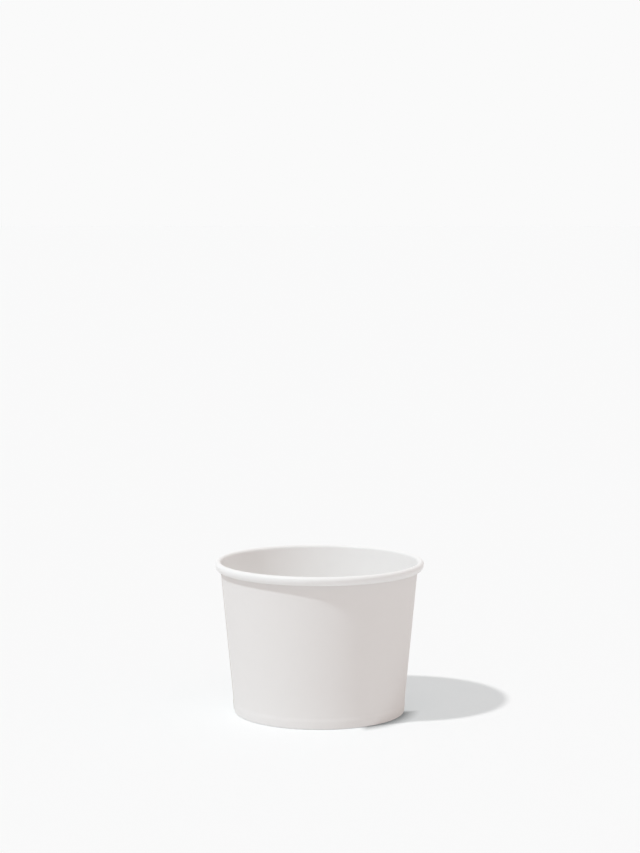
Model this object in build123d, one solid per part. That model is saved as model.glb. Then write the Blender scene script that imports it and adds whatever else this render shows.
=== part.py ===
from build123d import *
import os
from math import asin, atan2, cos, degrees, hypot, radians, sin

# Paper soup container: a conical paperboard sidewall with a rolled rim, and a recessed paperboard disc
# sealed into its folded foot. Millimetres, +Z up, origin at the centre of the foot on the table.

# Overall form
rim_radius = 49.0
base_radius = 39.75
height = 71.5

# Board of the sidewall, and the fold that holds the disc
board = 0.38
fold_radius = 0.25
fold_height = 5.6

# Rolled rim: its depth down the wall, the tightest curl's hollow, and the gap from its tail to the wall
bead_depth = 4.05
curl_inner_radius = 0.03
tail_gap = 0.14
tail_length = 1.2
top_turn = 175.0
leg_turn = 43.0

# Lap seam, round the back of the left side
lap_width = 7.0
joggle_width = 3.0
seam_angle = 170.0

# Bottom disc
disc_board = 0.30
disc_recess = 7.0
disc_corner_radius = 0.8
skirt_lift = 0.30
seal_gap = 0.02

# Reach of a cutting tool past what it cuts
overrun = 1.0

FULL_TURN = 360.0
RIGHT_ANGLE = 90.0

# The rim is a top roll, a leg that curves in as it falls, a low roll, and a tail back up beside the wall.
# All their radii are at the middle of the board. Where the seam doubles it, the second board lies inside
# the roll, so the low roll clears one and a half boards, and the tail stands two boards off the wall
low_roll = board * 3 / 2 + curl_inner_radius
tail_inset = 2 * board + tail_gap

# An arc's reach out from the wall is its radius times a fall in cosine, and its reach down the wall its
# radius times a fall in sine. Top roll and leg take the radii that give the tail's inset and the depth
top_cos = cos(radians(top_turn))
top_sin = sin(radians(top_turn))
leg_cos = cos(radians(top_turn + leg_turn))
leg_sin = sin(radians(top_turn + leg_turn))
out_needed = tail_inset + low_roll * (1 - leg_cos)
down_needed = bead_depth - board - low_roll * (1 + leg_sin)
determinant = (1 - top_cos) * (top_sin - leg_sin) - (1 - top_sin) * (top_cos - leg_cos)
top_roll = (out_needed * (top_sin - leg_sin) - down_needed * (top_cos - leg_cos)) / determinant
leg_roll = (down_needed * (1 - top_cos) - out_needed * (1 - top_sin)) / determinant
bead_width = 2 * top_roll + board
bead_centre = Vector(rim_radius - bead_width / 2, height - bead_width / 2)
base_corner = Vector(base_radius, 0)

# The outside of the wall runs from the base corner to touch the bead's top roll, short of its rightmost
# line by one board less than its radius
chord = bead_centre - base_corner
wall_angle = atan2(chord.Y, chord.X) + asin((bead_width / 2 - board) / hypot(chord.X, chord.Y))
taper = radians(RIGHT_ANGLE) - wall_angle
along = Vector(sin(taper), cos(taper))
outward = Vector(cos(taper), -sin(taper))

# The middle of the wall's board, level with the base corner
wall_foot = base_corner - outward * (board / 2)


def wall_point(level, inset):
    """The point at a level, set in toward the axis from the middle line of the wall's board."""
    climb = (level - wall_foot.Y - inset * sin(taper)) / cos(taper)
    return wall_foot + along * climb - outward * inset


# The disc's skirt stands between the wall and the fold, with a film of seal on each side
fold_inset = board + disc_board + 2 * seal_gap
fold_start = wall_point(fold_height, fold_inset)
inner_roll_centre = wall_point(board / 2 + fold_radius, fold_inset - fold_radius)
outer_roll_centre = wall_point(board / 2 + fold_radius, fold_radius)

# The board's section as a walk along its middle: a length with no turn, or a radius with a turn in
# degrees, to the left where it is positive
sidewall_walk = [
    ((fold_start - inner_roll_centre).dot(along), 0),
    (fold_radius, RIGHT_ANGLE + degrees(taper)),
    (outer_roll_centre.X - inner_roll_centre.X, 0),
    (fold_radius, RIGHT_ANGLE - degrees(taper)),
    ((bead_centre - outer_roll_centre).dot(along), 0),
    (top_roll, -top_turn),
    (leg_roll, -leg_turn),
    (low_roll, top_turn + leg_turn - FULL_TURN),
    (tail_length, 0),
]


def walk_edges(walk, start, heading, shift):
    """The edges of a walk, moved sideways by shift: to its right where shift is positive."""
    direction = heading
    point = start + Vector(heading.Y, -heading.X) * shift
    edges = []
    for size, turn in walk:
        if turn == 0:
            edge = Line(point, point + direction * size)
        elif turn > 0:
            edge = JernArc(point, direction, size + shift, turn)
        else:
            edge = JernArc(point, direction, size - shift, turn)
        edges.append(edge)
        point = edge @ 1
        direction = edge % 1
    return edges


def strip_face(walk, start, heading, left_shift, right_shift):
    """The section of a board that follows a walk, standing in the XZ plane."""
    left = walk_edges(walk, start, heading, left_shift)
    right = walk_edges(walk, start, heading, right_shift)
    caps = [Line(left[0] @ 0, right[0] @ 0), Line(left[-1] @ 1, right[-1] @ 1)]
    return Plane.XZ * make_face(left + right + caps)


def sidewall_section(left_shift, right_shift):
    return strip_face(sidewall_walk, fold_start, -along, left_shift, right_shift)


def sector(section, start_angle, end_angle):
    """A section swept round the axis from one angle to another, in degrees from +X."""
    swept = revolve(section, Axis.Z, end_angle - start_angle)
    return Rot(Z=start_angle) * swept


def make_sidewall():
    # The inner layer of the lap starts at seam_angle. The outer layer rises over it in the joggle before
    # that, and ends at lap_end
    joggle_start = seam_angle - degrees(joggle_width / rim_radius)
    lap_end = seam_angle + degrees(lap_width / rim_radius)
    single = sidewall_section(-board / 2, board / 2)
    double = sidewall_section(-board / 2, board * 3 / 2)
    raised = sidewall_section(board / 2, board * 3 / 2)
    round_wall = sector(single, lap_end, joggle_start + FULL_TURN)
    lap = sector(double, seam_angle, lap_end)
    joggle = loft([Rot(Z=joggle_start) * single, Rot(Z=seam_angle) * raised], ruled=True)
    # The foot is pressed level where the lap doubles it
    press = Box(
        2 * (rim_radius + overrun),
        2 * (rim_radius + overrun),
        board + overrun,
        align=(Align.CENTER, Align.CENTER, Align.MAX),
    )
    return round_wall + lap + joggle - press


def make_bottom_disc():
    skirt_inset = board / 2 + seal_gap + disc_board / 2
    corner_roll = disc_corner_radius - disc_board / 2
    middle_level = disc_recess + disc_board / 2
    roll_centre = wall_point(middle_level - corner_roll, skirt_inset + corner_roll)
    skirt_end = wall_point(board + skirt_lift, skirt_inset)
    walk = [
        (roll_centre.X, 0),
        (corner_roll, -(RIGHT_ANGLE + degrees(taper))),
        ((roll_centre - skirt_end).dot(along), 0),
    ]
    section = strip_face(walk, Vector(0, middle_level), Vector(1, 0), -disc_board / 2, disc_board / 2)
    return sector(section, 0, FULL_TURN)


os.makedirs("parts", exist_ok=True)
export_step(make_sidewall(), "parts/sidewall.step")
export_step(make_bottom_disc(), "parts/bottom_disc.step")
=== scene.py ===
from math import asin, atan, atan2, cos, hypot, pi, radians, sin
import bpy
import numpy as np
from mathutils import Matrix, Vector


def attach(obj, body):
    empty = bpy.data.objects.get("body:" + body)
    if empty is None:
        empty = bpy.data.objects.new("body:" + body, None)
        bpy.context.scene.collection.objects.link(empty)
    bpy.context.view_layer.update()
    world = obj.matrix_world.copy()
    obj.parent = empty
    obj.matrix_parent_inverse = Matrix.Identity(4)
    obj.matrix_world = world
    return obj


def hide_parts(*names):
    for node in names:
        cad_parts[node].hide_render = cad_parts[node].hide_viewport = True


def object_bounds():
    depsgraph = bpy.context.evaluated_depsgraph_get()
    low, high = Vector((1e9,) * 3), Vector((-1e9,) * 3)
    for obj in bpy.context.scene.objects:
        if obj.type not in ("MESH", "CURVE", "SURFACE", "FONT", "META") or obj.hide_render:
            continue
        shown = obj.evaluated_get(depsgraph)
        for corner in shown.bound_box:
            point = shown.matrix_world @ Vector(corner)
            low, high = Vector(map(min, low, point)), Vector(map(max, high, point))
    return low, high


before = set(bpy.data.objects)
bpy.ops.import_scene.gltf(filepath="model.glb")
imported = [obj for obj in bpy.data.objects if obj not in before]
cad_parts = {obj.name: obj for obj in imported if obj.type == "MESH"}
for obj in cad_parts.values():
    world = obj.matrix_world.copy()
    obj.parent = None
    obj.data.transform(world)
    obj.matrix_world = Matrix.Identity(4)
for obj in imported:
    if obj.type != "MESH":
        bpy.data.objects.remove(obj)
cad_low, cad_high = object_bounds()


# Camera
# A long lens about a metre away looks down on the container a little, so that the back of the bowl shows
# above the front of the rim. Its axis dips less than that, and the container stands low in the frame.
MM = 0.001
camera_distance = 1000 * MM
camera_elevation = 11.27
camera_side = 0.31 * MM
sensor_long_side = 36.0
frame_rows = 853
focal_rows = 2113
middle_row = 635.1
aim_height = cad_high.z / 2
dip = radians(camera_elevation) - atan((middle_row - frame_rows / 2) / focal_rows)

camera_data = bpy.data.cameras.new("camera")
camera_data.sensor_width = sensor_long_side
camera_data.lens = sensor_long_side * focal_rows / frame_rows
camera = bpy.data.objects.new("camera", camera_data)
camera.location = (
    camera_side,
    -camera_distance * cos(radians(camera_elevation)),
    aim_height + camera_distance * sin(radians(camera_elevation)),
)
camera.rotation_euler = (pi / 2 - dip, 0, 0)
bpy.context.scene.collection.objects.link(camera)
bpy.context.scene.camera = camera
bpy.context.scene.view_settings.view_transform = "Standard"


# Light
# One small hard lamp high on the left and in front, which throws the rim's shadow across the wall, and a
# surround that fills the shade, a little warmer than the lamp, dim near the horizon and stronger on the right
# than on the left. Together they light level white ground to about its own colour.
key_direction = Vector((0.486, 0.304, -0.819))
key_irradiance = 1.47
key_width = 3.0
key_color = (0.89, 1.0, 1.057)
horizon_color = (0.25, 0.229, 0.222)
fill_color = (0.695, 0.637, 0.616)
fill_rise = 0.42
fill_level = 0.99
fill_lean = 0.15
backdrop_level = 0.956

key_data = bpy.data.lights.new("key", "SUN")
key_data.energy = key_irradiance
key_data.angle = radians(key_width)
key_data.color = key_color
key = bpy.data.objects.new("key", key_data)
key.rotation_mode = "QUATERNION"
key.rotation_quaternion = key_direction.to_track_quat("-Z", "Y")
bpy.context.scene.collection.objects.link(key)


def seen_directly(nodes, links):
    """1 for a ray from the camera, or one that a shiny or clear surface sends on, and else 0: the three
    marks of the light path added up and kept to 1."""
    path = nodes.new("ShaderNodeLightPath")
    sum_two = nodes.new("ShaderNodeMath")
    sum_three = nodes.new("ShaderNodeMath")
    sum_three.use_clamp = True
    links.new(path.outputs["Is Camera Ray"], sum_two.inputs[0])
    links.new(path.outputs["Is Glossy Ray"], sum_two.inputs[1])
    links.new(sum_two.outputs[0], sum_three.inputs[0])
    links.new(path.outputs["Is Transmission Ray"], sum_three.inputs[1])
    return sum_three.outputs[0]


world = bpy.data.worlds.new("surround")
world.use_nodes = True
bpy.context.scene.world = world
nodes, links = world.node_tree.nodes, world.node_tree.links
nodes.clear()
place = nodes.new("ShaderNodeTexCoord")
split = nodes.new("ShaderNodeSeparateXYZ")
rise = nodes.new("ShaderNodeMapRange")
rise.interpolation_type = "SMOOTHSTEP"
rise.inputs["From Max"].default_value = fill_rise
tint = nodes.new("ShaderNodeMix")
tint.data_type = "RGBA"
tint.inputs["A"].default_value = (*horizon_color, 1)
tint.inputs["B"].default_value = (*fill_color, 1)
lean = nodes.new("ShaderNodeMath")
lean.operation = "MULTIPLY_ADD"
lean.inputs[1].default_value = fill_lean
lean.inputs[2].default_value = fill_level
fill = nodes.new("ShaderNodeBackground")
links.new(place.outputs["Generated"], split.inputs["Vector"])
links.new(split.outputs["Z"], rise.inputs["Value"])
links.new(rise.outputs["Result"], tint.inputs["Factor"])
links.new(tint.outputs["Result"], fill.inputs["Color"])
links.new(split.outputs["X"], lean.inputs[0])
links.new(lean.outputs[0], fill.inputs["Strength"])
backdrop = nodes.new("ShaderNodeBackground")
backdrop.inputs["Color"].default_value = (backdrop_level, backdrop_level, backdrop_level, 1)
choose = nodes.new("ShaderNodeMixShader")
out = nodes.new("ShaderNodeOutputWorld")
links.new(seen_directly(nodes, links), choose.inputs["Fac"])
links.new(fill.outputs[0], choose.inputs[1])
links.new(backdrop.outputs[0], choose.inputs[2])
links.new(choose.outputs[0], out.inputs["Surface"])


# Floor
# A wide sheet of pale ground. What is seen of it glows a little as well, so that it runs into the backdrop
# with no edge and the container's shadow lies light on it. Close by the foot, where the shadow starts low on
# the right and the ground is hemmed in, a painted shadow darkens what is seen, down to a set share of it
# where the ground is most hemmed in. It covers a fixed band of directions round the foot and doesn't follow
# the lamp.
floor_half = 60.0
floor_pale = 0.85
floor_white = (0.853, 0.752, 0.711)
floor_glow = (0.092, 0.204, 0.244)
# These values shape the painted shadow on the ground by the foot: how far the occlusion looks, how dark it
# gets, the hemmed share where it starts, and the band of directions it covers.
painted_shade_reach = 8 * MM
painted_foot_shade = 0.36
hemmed_share = 0.5
shade_side = (0.84, -0.54, 0)
shade_edge = (0.84, 0.97)

floor_mesh = bpy.data.meshes.new("floor")
floor_mesh.from_pydata(
    [(-floor_half, -floor_half, 0), (floor_half, -floor_half, 0),
     (floor_half, floor_half, 0), (-floor_half, floor_half, 0)],
    [], [(0, 1, 2, 3)],
)
floor = bpy.data.objects.new("floor", floor_mesh)
bpy.context.scene.collection.objects.link(floor)
floor_material = bpy.data.materials.new("floor_white")
floor_material.use_nodes = True
nodes, links = floor_material.node_tree.nodes, floor_material.node_tree.links
nodes.clear()
pale = nodes.new("ShaderNodeBsdfDiffuse")
pale.inputs["Color"].default_value = (floor_pale, floor_pale, floor_pale, 1)
white = nodes.new("ShaderNodeBsdfDiffuse")
white.inputs["Color"].default_value = (*floor_white, 1)
# Painted shadow by the foot: how hemmed in the ground is darkens what is seen of it, on the shade side only.
painted_shade_ao = nodes.new("ShaderNodeAmbientOcclusion")
painted_shade_ao.inputs["Distance"].default_value = painted_shade_reach
fade = nodes.new("ShaderNodeMapRange")
fade.inputs["From Min"].default_value = hemmed_share
fade.inputs["To Min"].default_value = painted_foot_shade
spot = nodes.new("ShaderNodeTexCoord")
from_axis = nodes.new("ShaderNodeVectorMath")
from_axis.operation = "NORMALIZE"
away = nodes.new("ShaderNodeVectorMath")
away.operation = "DOT_PRODUCT"
away.inputs[1].default_value = shade_side
on_lit_side = nodes.new("ShaderNodeMapRange")
on_lit_side.interpolation_type = "SMOOTHSTEP"
on_lit_side.inputs["From Min"].default_value, on_lit_side.inputs["From Max"].default_value = shade_edge
on_lit_side.inputs["To Min"].default_value, on_lit_side.inputs["To Max"].default_value = 1, 0
share = nodes.new("ShaderNodeMath")
share.operation = "MAXIMUM"
glow = nodes.new("ShaderNodeEmission")
glow.inputs["Color"].default_value = (*floor_glow, 1)
ground = nodes.new("ShaderNodeAddShader")
# The black that the painted shadow mixes into what is seen of the ground.
dark = nodes.new("ShaderNodeEmission")
dark.inputs["Strength"].default_value = 0
seen = nodes.new("ShaderNodeMixShader")
choose = nodes.new("ShaderNodeMixShader")
out = nodes.new("ShaderNodeOutputMaterial")
links.new(painted_shade_ao.outputs["AO"], fade.inputs["Value"])
links.new(spot.outputs["Object"], from_axis.inputs[0])
links.new(from_axis.outputs["Vector"], away.inputs[0])
links.new(away.outputs["Value"], on_lit_side.inputs["Value"])
links.new(fade.outputs["Result"], share.inputs[0])
links.new(on_lit_side.outputs["Result"], share.inputs[1])
links.new(share.outputs[0], seen.inputs["Fac"])
links.new(white.outputs[0], ground.inputs[0])
links.new(glow.outputs[0], ground.inputs[1])
links.new(dark.outputs[0], seen.inputs[1])
links.new(ground.outputs[0], seen.inputs[2])
links.new(seen_directly(nodes, links), choose.inputs["Fac"])
links.new(pale.outputs[0], choose.inputs[1])
links.new(seen.outputs[0], choose.inputs[2])
links.new(choose.outputs[0], out.inputs["Surface"])
floor.data.materials.append(floor_material)


# Sidewall
# One blank of white coated board, wrapped to a cone and sealed where it laps, down the back of the left side.
# Its top edge is curled out and under into the rolled rim, and its bottom edge is folded in and up round the
# skirt of the bottom disc.
rim_radius = cad_high.x
height = cad_high.z
base_radius = 39.75 * MM
board = 0.38 * MM
fold_radius = 0.25 * MM
fold_height = 5.6 * MM
bead_depth = 4.05 * MM
curl_inner_radius = 0.03 * MM
tail_gap = 0.14 * MM
tail_length = 1.2 * MM
top_turn = radians(175)
leg_turn = radians(43)
disc_board = 0.30 * MM
seal_gap = 0.02 * MM
lap_width = 7.0 * MM
joggle_width = 3.0 * MM
seam_angle = radians(170)

low_roll = board * 3 / 2 + curl_inner_radius
tail_inset = 2 * board + tail_gap
out_needed = tail_inset + low_roll * (1 - cos(top_turn + leg_turn))
down_needed = bead_depth - board - low_roll * (1 + sin(top_turn + leg_turn))
cos_fall = cos(top_turn) - cos(top_turn + leg_turn)
sin_fall = sin(top_turn) - sin(top_turn + leg_turn)
determinant = (1 - cos(top_turn)) * sin_fall - (1 - sin(top_turn)) * cos_fall
top_roll = (out_needed * sin_fall - down_needed * cos_fall) / determinant
leg_roll = (down_needed * (1 - cos(top_turn)) - out_needed * (1 - sin(top_turn))) / determinant

bead_radius = top_roll + board / 2
bead_centre = np.array((rim_radius - bead_radius, height - bead_radius))
base_corner = np.array((base_radius, 0))
reach = bead_centre - base_corner
taper = pi / 2 - atan2(reach[1], reach[0]) - asin((bead_radius - board) / hypot(*reach))
along = np.array((sin(taper), cos(taper)))
outward = np.array((cos(taper), -sin(taper)))
wall_foot = base_corner - outward * board / 2


def wall_point(level, inset):
    """The point at a level, set in toward the axis from the middle line of the wall's board: up the wall
    from its foot by the level that is left after the inset's own fall, over the cosine of the taper."""
    climb = (level - wall_foot[1] - inset * sin(taper)) / cos(taper)
    return wall_foot + along * climb - outward * inset


def follow_walk(walk, start, heading):
    """Points along the middle of a board, and the direction to its right at each. A walk is a list of (size,
    turn, steps): a length where the turn is 0, and else a radius, whose centre lies across the heading on the
    side of the turn. A point on an arc is the centre less the radius along the turned direction to it."""
    points, rights = [start[None]], [np.array([[heading[1], -heading[0]]])]
    for size, turn, steps in walk:
        share = np.linspace(0, 1, steps + 1)[1:, None]
        left = np.array((-heading[1], heading[0]))
        angle = turn * share
        turned = np.hstack((
            heading[0] * np.cos(angle) - heading[1] * np.sin(angle),
            heading[0] * np.sin(angle) + heading[1] * np.cos(angle),
        ))
        lefts = np.column_stack((-turned[:, 1], turned[:, 0]))
        if turn == 0:
            points.append(points[-1][-1] + heading * size * share)
        else:
            side = np.sign(turn) * size
            points.append(points[-1][-1] + side * (left - lefts))
        rights.append(-lefts)
        heading = turned[-1]
    return np.vstack(points), np.vstack(rights)


sharp_turn = radians(40)


def mesh_object(name, points, faces, materials, material_index):
    """A mesh object from points and faces, smooth but for its sharp edges."""
    mesh = bpy.data.meshes.new(name)
    mesh.from_pydata(points.tolist(), [], faces)
    for material in materials:
        mesh.materials.append(material)
    mesh.polygons.foreach_set("material_index", material_index)
    mesh.polygons.foreach_set("use_smooth", np.ones(len(mesh.polygons), bool))
    mesh.set_sharp_from_angle(angle=sharp_turn)
    mesh.update()
    piece = bpy.data.objects.new(name, mesh)
    bpy.context.scene.collection.objects.link(piece)
    return piece


fold_inset = board + disc_board + 2 * seal_gap
fold_start = wall_point(fold_height, fold_inset)
inner_roll_centre = wall_point(board / 2 + fold_radius, fold_inset - fold_radius)
outer_roll_centre = wall_point(board / 2 + fold_radius, fold_radius)
heel_run = (fold_height - board / 2 - fold_radius) / cos(taper)
sidewall_walk = [
    ((fold_start - inner_roll_centre) @ along, 0, 4),
    (fold_radius, pi / 2 + taper, 6),
    (outer_roll_centre[0] - inner_roll_centre[0], 0, 1),
    (fold_radius, pi / 2 - taper, 6),
    (heel_run, 0, 10),
    ((bead_centre - outer_roll_centre) @ along - heel_run, 0, 5),
    (top_roll, -top_turn, 14),
    (leg_roll, -leg_turn, 8),
    (low_roll, top_turn + leg_turn - 2 * pi, 8),
    (tail_length, 0, 1),
]

step_angle = radians(0.5)
lap_film = 0.01 * MM
fold_last = sidewall_walk[0][2]
knurls = 120
knurl_depth = 0.05 * MM
knurl_start = 0.5 * MM
knurl_fade = 1.5 * MM
heel_first = fold_last + sidewall_walk[1][2] + 1
heel_swell = 0.26 * MM
heel_fade = 2.4 * MM


def ease(share):
    """0 below 0 and 1 above 1, and between them the cubic 3s2 - 2s3, which starts and ends level."""
    share = np.clip(share, 0, 1)
    return share * share * (3 - 2 * share)


def lay_sidewall():
    """The board as it is wound: the walk's points, each moved along the direction to its right by half a
    board either way, and turned about the axis. The winding starts at the inner end of the lap, eases one
    board further to the right over the joggle that comes before a full turn, and ends over its own start.
    Where it is double, the foot is squeezed so that both boards share the height of one: a level below one
    board, with so much under it, is lifted by that and scaled back to the same board. The face of the fold
    that looks to the axis carries the knurls of the sealing tool, a raised cosine round the turn that fades
    out up and down. From the foot's inner roll outward, the board is pressed out by the heel's swell, which
    eases away toward the top of the fold."""
    middle, right = follow_walk(sidewall_walk, fold_start, -along)
    lap_angle = lap_width / rim_radius
    joggle_angle = joggle_width / rim_radius
    full_turn = seam_angle + 2 * pi
    last = full_turn + lap_angle
    turn = np.linspace(seam_angle, last, int((last - seam_angle) / step_angle))[:, None]
    raised = ease((turn - full_turn) / joggle_angle + 1)
    covered = 1 - ease((turn - seam_angle - lap_angle) / joggle_angle)
    shift = raised * (board + lap_film)
    side = np.concatenate((np.ones(len(middle)), -np.ones(len(middle))))
    ring = np.concatenate((np.arange(len(middle)), np.arange(len(middle))[::-1]))
    reach_out = shift + side * board / 2
    radius = middle[ring, 0] + reach_out * right[ring, 0]
    level = middle[ring, 1] + reach_out * right[ring, 1]
    under = np.maximum(raised, covered) * (board + lap_film)
    level = np.where(level < board, (level + under) * board / (board + under), level)
    on_fold = ease((fold_height - level) / knurl_fade) * ease((level - knurl_start) / knurl_fade)
    on_fold = on_fold * (side > 0) * (ring <= fold_last)
    radius = radius + knurl_depth * on_fold * (1 - np.cos(knurls * turn)) / 2
    on_heel = ease((fold_height - level) / heel_fade) * (ring >= heel_first)
    radius = radius + heel_swell * on_heel
    points = np.stack((radius * np.cos(turn), radius * np.sin(turn), level), axis=-1)

    around, across = radius.shape
    station = np.arange(around - 1)[:, None] * across
    here = np.arange(across)
    after = (here + 1) % across
    skin = np.stack(
        (station + here, station + across + here, station + across + after, station + after), axis=-1
    ).reshape(-1, 4)
    half = np.arange(len(middle) - 1)
    cap = np.stack((half, half + 1, across - 2 - half, across - 1 - half), axis=-1)
    end_cap = (cap + (around - 1) * across)[:, ::-1]
    kind = np.where(here < len(middle) - 1, 0, 1)
    kind[[len(middle) - 1, across - 1]] = 2
    kinds = np.concatenate((np.tile(kind, around - 1), np.full(2 * len(cap), 2)))
    return points.reshape(-1, 3), np.vstack((skin, cap, end_cap)), kinds


cloud_scale = 260
cloud_detail = 3
cloud_roughness = 0.55
tooth_scale = 3200
tooth_detail = 2
fibre_squeeze = 0.18
noise_middle = 0.5


def make_fibre_group():
    """Pulped fibre under a white coat: broad soft clouds where the board is denser, a fine tooth, and fibres
    drawn out up the wall. It gives a colour between two near whites, a roughness and a height."""
    group = bpy.data.node_groups.new("board_fibre", "ShaderNodeTree")
    for name, kind in (
        ("Dense Color", "NodeSocketColor"), ("Thin Color", "NodeSocketColor"),
        ("Roughness", "NodeSocketFloat"), ("Roughness Spread", "NodeSocketFloat"),
        ("Cloud Scale", "NodeSocketFloat"), ("Tooth Scale", "NodeSocketFloat"),
    ):
        group.interface.new_socket(name=name, in_out="INPUT", socket_type=kind)
    for name, kind in (
        ("Color", "NodeSocketColor"), ("Roughness", "NodeSocketFloat"), ("Height", "NodeSocketFloat"),
    ):
        group.interface.new_socket(name=name, in_out="OUTPUT", socket_type=kind)
    nodes, links = group.nodes, group.links
    given = nodes.new("NodeGroupInput")
    result = nodes.new("NodeGroupOutput")
    place = nodes.new("ShaderNodeTexCoord")
    stretch = nodes.new("ShaderNodeMapping")
    stretch.inputs["Scale"].default_value = (1, 1, fibre_squeeze)
    links.new(place.outputs["Object"], stretch.inputs["Vector"])

    cloud = nodes.new("ShaderNodeTexNoise")
    cloud.inputs["Detail"].default_value = cloud_detail
    cloud.inputs["Roughness"].default_value = cloud_roughness
    links.new(place.outputs["Object"], cloud.inputs["Vector"])
    links.new(given.outputs["Cloud Scale"], cloud.inputs["Scale"])
    tooth = nodes.new("ShaderNodeTexNoise")
    tooth.inputs["Detail"].default_value = tooth_detail
    links.new(place.outputs["Object"], tooth.inputs["Vector"])
    links.new(given.outputs["Tooth Scale"], tooth.inputs["Scale"])
    fibre = nodes.new("ShaderNodeTexNoise")
    fibre.inputs["Detail"].default_value = tooth_detail
    links.new(stretch.outputs["Vector"], fibre.inputs["Vector"])
    links.new(given.outputs["Tooth Scale"], fibre.inputs["Scale"])

    tint = nodes.new("ShaderNodeMix")
    tint.data_type = "RGBA"
    links.new(cloud.outputs["Fac"], tint.inputs["Factor"])
    links.new(given.outputs["Dense Color"], tint.inputs["A"])
    links.new(given.outputs["Thin Color"], tint.inputs["B"])
    links.new(tint.outputs["Result"], result.inputs["Color"])

    centred = nodes.new("ShaderNodeMath")
    centred.operation = "SUBTRACT"
    centred.inputs[1].default_value = noise_middle
    links.new(fibre.outputs["Fac"], centred.inputs[0])
    spread = nodes.new("ShaderNodeMath")
    spread.operation = "MULTIPLY_ADD"
    links.new(centred.outputs[0], spread.inputs[0])
    links.new(given.outputs["Roughness Spread"], spread.inputs[1])
    links.new(given.outputs["Roughness"], spread.inputs[2])
    links.new(spread.outputs[0], result.inputs["Roughness"])

    height_sum = nodes.new("ShaderNodeMath")
    height_sum.operation = "ADD"
    links.new(tooth.outputs["Fac"], height_sum.inputs[0])
    links.new(fibre.outputs["Fac"], height_sum.inputs[1])
    links.new(height_sum.outputs[0], result.inputs["Height"])
    return group


board_fibre = make_fibre_group()
relief_strength = 0.5


def board_material(name, dense, thin, roughness, spread, tooth_depth, specular):
    """White paperboard: the fibre's colour, roughness and relief on one plain shader. Dense and thin are the
    colours at either end of the clouds."""
    material = bpy.data.materials.new(name)
    material.use_nodes = True
    nodes, links = material.node_tree.nodes, material.node_tree.links
    shader = nodes["Principled BSDF"]
    shader.inputs["Specular IOR Level"].default_value = specular
    fibre = nodes.new("ShaderNodeGroup")
    fibre.node_tree = board_fibre
    fibre.inputs["Dense Color"].default_value = (*dense, 1)
    fibre.inputs["Thin Color"].default_value = (*thin, 1)
    fibre.inputs["Roughness"].default_value = roughness
    fibre.inputs["Roughness Spread"].default_value = spread
    fibre.inputs["Cloud Scale"].default_value = cloud_scale
    fibre.inputs["Tooth Scale"].default_value = tooth_scale
    relief = nodes.new("ShaderNodeBump")
    relief.inputs["Strength"].default_value = relief_strength
    relief.inputs["Distance"].default_value = tooth_depth
    links.new(fibre.outputs["Color"], shader.inputs["Base Color"])
    links.new(fibre.outputs["Roughness"], shader.inputs["Roughness"])
    links.new(fibre.outputs["Height"], relief.inputs["Height"])
    links.new(relief.outputs["Normal"], shader.inputs["Normal"])
    return material


outer_board = board_material(
    "outer_board",
    dense=(0.876, 0.856, 0.840),
    thin=(0.864, 0.844, 0.827),
    roughness=0.62,
    spread=0.10,
    tooth_depth=0.012 * MM,
    specular=0.20,
)
# The inside film is paler than the outer board: partly the film's own white, partly painted light that
# brightens the shaded inside of the bowl.
inner_film_and_painted_light = board_material(
    "inner_film_and_painted_light",
    dense=(0.932, 0.928, 0.919),
    thin=(0.924, 0.920, 0.910),
    roughness=0.42,
    spread=0.12,
    tooth_depth=0.008 * MM,
    specular=0.25,
)
cut_edge = board_material(
    "cut_edge",
    dense=(0.780, 0.752, 0.712),
    thin=(0.700, 0.668, 0.622),
    roughness=0.85,
    spread=0.10,
    tooth_depth=0.030 * MM,
    specular=0.20,
)

points, faces, kinds = lay_sidewall()
sidewall = mesh_object("sidewall_board", points, faces, [outer_board, inner_film_and_painted_light, cut_edge], kinds)
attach(sidewall, "root")
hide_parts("sidewall")


# Bottom disc
# A pressed disc of the same white board, thinner and filmed on both sides. Its edge is turned down into a
# skirt, which stands in the fold of the sidewall and lifts the disc clear of the ground.
disc_recess = 7.0 * MM
disc_corner_radius = 0.8 * MM
skirt_lift = 0.30 * MM

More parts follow.
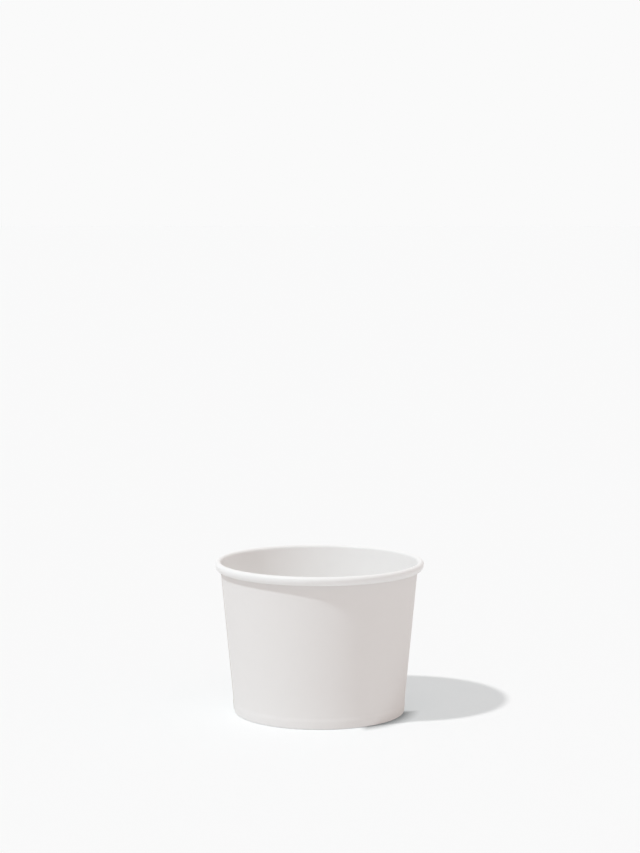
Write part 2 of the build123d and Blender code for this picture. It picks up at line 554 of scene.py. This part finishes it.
skirt_inset = board / 2 + seal_gap + disc_board / 2
corner_roll = disc_corner_radius - disc_board / 2
middle_level = disc_recess + disc_board / 2
board_half = disc_board / 2
disc_roll_centre = wall_point(middle_level - corner_roll, skirt_inset + corner_roll)
skirt_end = wall_point(board + skirt_lift, skirt_inset)
disc_walk = [
    (disc_roll_centre[0], 0, 24),
    (corner_roll, -(pi / 2 + taper), 8),
    ((disc_roll_centre - skirt_end) @ along, 0, 3),
]


def lay_disc():
    """The disc's walk from the axis out and down the skirt, half a board either way, turned about the axis.
    Each face closes in one point at the axis."""
    middle, right = follow_walk(disc_walk, np.array((0, middle_level)), np.array((1.0, 0)))
    turn = np.arange(0, 2 * pi - step_angle / 2, step_angle)[:, None]
    ring = np.concatenate((np.arange(1, len(middle)), np.arange(1, len(middle))[::-1]))
    side = np.concatenate((-np.ones(len(middle) - 1), np.ones(len(middle) - 1)))
    radius = middle[ring, 0] + side * board_half * right[ring, 0]
    level = middle[ring, 1] + side * board_half * right[ring, 1]
    around, across = len(turn), len(ring)
    level = np.broadcast_to(level, (around, across))
    points = np.stack((radius * np.cos(turn), radius * np.sin(turn), level), axis=-1).reshape(-1, 3)
    top, under = len(points), len(points) + 1
    points = np.vstack((points, (0, 0, middle_level + board_half), (0, 0, middle_level - board_half)))
    station = np.arange(around)[:, None] * across
    onward = (np.arange(around)[:, None] + 1) % around * across
    here = np.arange(across - 1)
    skin = np.stack((station + here, station + here + 1, onward + here + 1, onward + here), axis=-1)
    starts = station[:, 0].tolist()
    ends = onward[:, 0].tolist()
    inner = across - 1
    faces = skin.reshape(-1, 4).tolist()
    faces += [(top, start, end) for start, end in zip(starts, ends)]
    faces += [(under, end + inner, start + inner) for start, end in zip(starts, ends)]
    kind = np.zeros(across - 1, int)
    kind[len(middle) - 2] = 1
    return points, faces, np.concatenate((np.tile(kind, around), np.zeros(2 * around, int)))


# The disc's film is a shade darker than the wall's inside film: painted shade that keeps the lit bottom of
# the bowl from clipping to white.
disc_film_and_painted_shade = board_material(
    "disc_film_and_painted_shade",
    dense=(0.910, 0.906, 0.897),
    thin=(0.902, 0.898, 0.888),
    roughness=0.45,
    spread=0.12,
    tooth_depth=0.008 * MM,
    specular=0.25,
)
points, faces, kinds = lay_disc()
disc = mesh_object("bottom_disc_board", points, faces, [disc_film_and_painted_shade, cut_edge], kinds)
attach(disc, "root")
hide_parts("bottom_disc")
